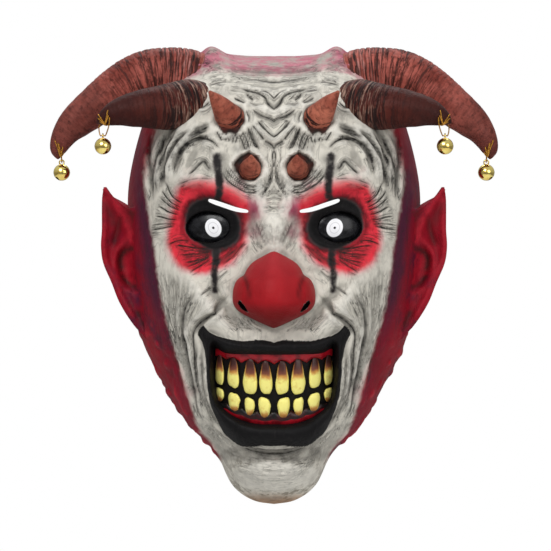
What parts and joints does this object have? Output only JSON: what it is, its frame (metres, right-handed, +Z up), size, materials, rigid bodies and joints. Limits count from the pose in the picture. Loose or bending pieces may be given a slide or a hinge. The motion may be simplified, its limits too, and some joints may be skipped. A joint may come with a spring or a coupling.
{
  "type": "devil clown mask",
  "caption": "Hollow latex devil clown face mask with pointed ears, round nose, toothy grin, ribbed horns and hanging jingle bells, open at the back for a head.",
  "frame": {"origin": "middle of the open back, in the plane of the rim, level with the sight slits, where a head goes in", "axes": "+Y out of the open back, +Z up the face, +X to the right as seen from the front; the face looks along -Y"},
  "size_m": [0.3232, 0.1527, 0.3304],
  "materials": {
    "face_latex": "painted latex, satin, with dark wash in the folds",
    "teeth": "painted latex teeth and gums, glossy",
    "eyes": "glossy dark eye with a pale disc",
    "horn_latex": "painted ribbed latex, satin",
    "brow_latex": "painted latex, satin",
    "tie_thread": "twisted gold thread",
    "bells": "polished gold plating"
  },
  "bodies": {
    "mask": {"face_shell": "face_latex", "upper_teeth": "teeth", "lower_teeth": "teeth", "eye_left": "eyes", "eye_right": "eyes", "back_horn_left": "horn_latex", "back_horn_right": "horn_latex", "front_horn_left": "horn_latex", "front_horn_right": "horn_latex", "brow_horn_left": "brow_latex", "brow_horn_right": "brow_latex", "brow_stub_left": "brow_latex", "brow_stub_right": "brow_latex", "back_bell_tie_left": "tie_thread", "back_bell_tie_right": "tie_thread", "front_bell_tie_left": "tie_thread", "front_bell_tie_right": "tie_thread"},
    "back_bell_left": {"back_bell_left": "bells"},
    "back_bell_right": {"back_bell_right": "bells"},
    "front_bell_left": {"front_bell_left": "bells"},
    "front_bell_right": {"front_bell_right": "bells"}
  },
  "joints": [
    {"name": "back_bell_left_swing", "type": "hinge", "parent": "mask", "child": "back_bell_left", "pos_m": [-0.1536, -0.045, 0.03385], "axis": [0, 1, 0], "range_deg": [-45, 45]},
    {"name": "back_bell_right_swing", "type": "hinge", "parent": "mask", "child": "back_bell_right", "pos_m": [0.1536, -0.045, 0.03385], "axis": [0, 1, 0], "range_deg": [-45, 45]},
    {"name": "front_bell_left_swing", "type": "hinge", "parent": "mask", "child": "front_bell_left", "pos_m": [-0.123, -0.0915, 0.05225], "axis": [1, 0, 0], "range_deg": [-45, 45]},
    {"name": "front_bell_right_swing", "type": "hinge", "parent": "mask", "child": "front_bell_right", "pos_m": [0.123, -0.0915, 0.05225], "axis": [1, 0, 0], "range_deg": [-45, 45]}
  ]
}
